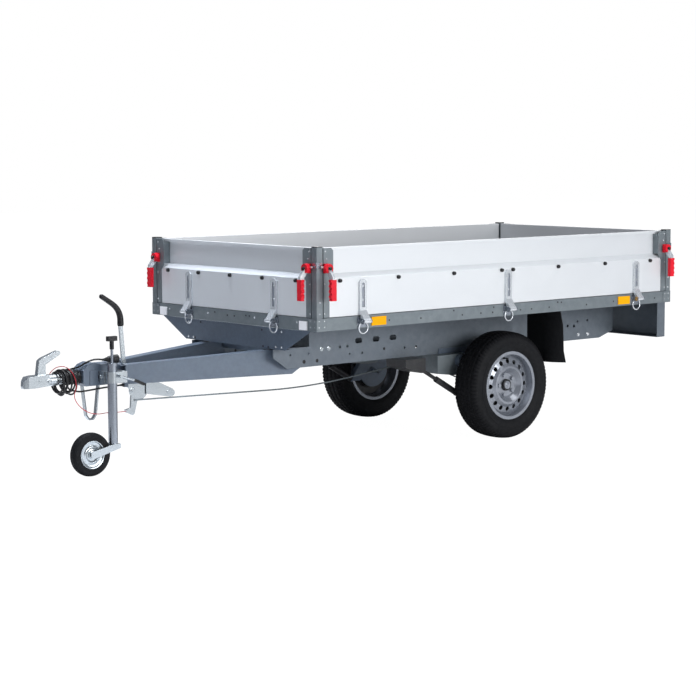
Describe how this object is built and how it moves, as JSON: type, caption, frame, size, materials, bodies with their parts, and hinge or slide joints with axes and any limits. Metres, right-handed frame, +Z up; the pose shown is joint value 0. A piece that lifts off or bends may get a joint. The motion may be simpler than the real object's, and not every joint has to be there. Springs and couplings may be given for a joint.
{
  "type": "dropside platform trailer",
  "caption": "Braked high-bed trailer with four hinged drop sides, V drawbar with overrun coupling, and a swivelling jockey wheel.",
  "frame": {"origin": "on the ground, below the middle of the whole trailer's outline", "axes": "+X forward to the coupling, +Y to the left-hand side, +Z up"},
  "size_m": [4.085, 1.547, 1.125],
  "materials": {
    "grey_steel": "grey zinc-coated sheet steel, satin",
    "blue_grey_paint": "blue-grey coated steel, satin",
    "silver_sheet": "smooth silver sheet, fine sheen",
    "galvanised": "bright zinc plate",
    "coated_plywood": "phenolic-faced plywood, mesh print",
    "black_plastic": "moulded black plastic",
    "black_rubber": "black rubber",
    "tyre_rubber": "black tyre rubber",
    "black_paint": "black paint",
    "silver_rim": "silver paint",
    "red_plastic": "red moulded plastic",
    "red_cable": "red plastic-coated wire",
    "red_lens": "red lamp lens",
    "amber_lens": "amber reflector",
    "white_lens": "white reflector"
  },
  "bodies": {
    "chassis": {"bed_rails": "grey_steel", "corner_posts": "grey_steel", "post_caps": "black_plastic", "floor_panel": "coated_plywood", "cross_members": "grey_steel", "side_beams": "grey_steel", "drawbar_legs": "blue_grey_paint", "front_apron": "blue_grey_paint", "rear_lamp_beam": "grey_steel", "tail_lamps": "red_lens", "mud_flaps": "black_rubber", "hinge_brackets": "galvanised", "lashing_rings": "galvanised", "latch_catches": "galvanised", "axle_beam": "grey_steel", "swing_arms": "blue_grey_paint", "shock_absorbers": "black_paint", "overrun_housing": "blue_grey_paint", "bellows": "black_rubber", "coupling_head": "galvanised", "plug_holder": "galvanised", "handbrake_lever": "galvanised", "handbrake_grip": "black_rubber", "skid_loop": "galvanised", "brake_rod": "grey_steel", "jockey_clamp": "galvanised", "amber_reflectors": "amber_lens", "white_reflectors": "white_lens", "cable_coil": "black_rubber", "lead_lower": "black_rubber", "lead_upper": "black_rubber", "plug": "black_plastic", "breakaway_cable": "red_cable"},
    "board_left": {"left_board": "silver_sheet", "left_end_plates": "grey_steel", "left_fittings": "galvanised", "left_latches": "red_plastic"},
    "board_right": {"right_board": "silver_sheet", "right_end_plates": "grey_steel", "right_fittings": "galvanised", "right_latches": "red_plastic"},
    "board_front": {"front_board": "silver_sheet", "front_end_plates": "grey_steel", "front_fittings": "galvanised", "front_latches": "red_plastic"},
    "board_rear": {"rear_board": "silver_sheet", "rear_end_plates": "grey_steel", "rear_fittings": "galvanised", "rear_latches": "red_plastic"},
    "wheel_left": {"tyre_left": "tyre_rubber", "rim_left": "silver_rim", "hub_left": "black_paint"},
    "wheel_right": {"tyre_right": "tyre_rubber", "rim_right": "silver_rim", "hub_right": "black_paint"},
    "jockey_leg": {"jockey_tube": "galvanised", "jockey_crank": "black_plastic"},
    "jockey_swivel": {"jockey_fork": "galvanised"},
    "jockey_wheel": {"jockey_tyre": "tyre_rubber", "jockey_rim": "galvanised"}
  },
  "joints": [
    {"name": "board_left_hinge", "type": "hinge", "parent": "chassis", "child": "board_left", "pos_m": [-0.613, 0.7415, 0.735], "axis": [-1, 0, 0], "range_deg": [0, 180]},
    {"name": "board_right_hinge", "type": "hinge", "parent": "chassis", "child": "board_right", "pos_m": [-0.613, -0.7415, 0.735], "axis": [1, 0, 0], "range_deg": [0, 180]},
    {"name": "board_front_hinge", "type": "hinge", "parent": "chassis", "child": "board_front", "pos_m": [0.7845, 0, 0.735], "axis": [0, 1, 0], "range_deg": [0, 120]},
    {"name": "board_rear_hinge", "type": "hinge", "parent": "chassis", "child": "board_rear", "pos_m": [-2.0105, 0, 0.735], "axis": [0, -1, 0], "range_deg": [0, 180]},
    {"name": "wheel_left_spin", "type": "hinge", "parent": "chassis", "child": "wheel_left", "pos_m": [-0.7095, 0.565, 0.298], "axis": [0, 1, 0], "continuous": true},
    {"name": "wheel_right_spin", "type": "hinge", "parent": "chassis", "child": "wheel_right", "pos_m": [-0.7095, -0.565, 0.298], "axis": [0, 1, 0], "continuous": true},
    {"name": "jockey_lift", "type": "slide", "parent": "chassis", "child": "jockey_leg", "axis": [0, 0, 1], "range_m": [0, 0.2]},
    {"name": "jockey_swivel", "type": "hinge", "parent": "jockey_leg", "child": "jockey_swivel", "pos_m": [1.5925, 0.122, 0.2], "axis": [0, 0, 1], "continuous": true},
    {"name": "jockey_wheel_spin", "type": "hinge", "parent": "jockey_swivel", "child": "jockey_wheel", "pos_m": [1.7305, 0.122, 0.11], "axis": [0, 1, 0], "continuous": true}
  ]
}
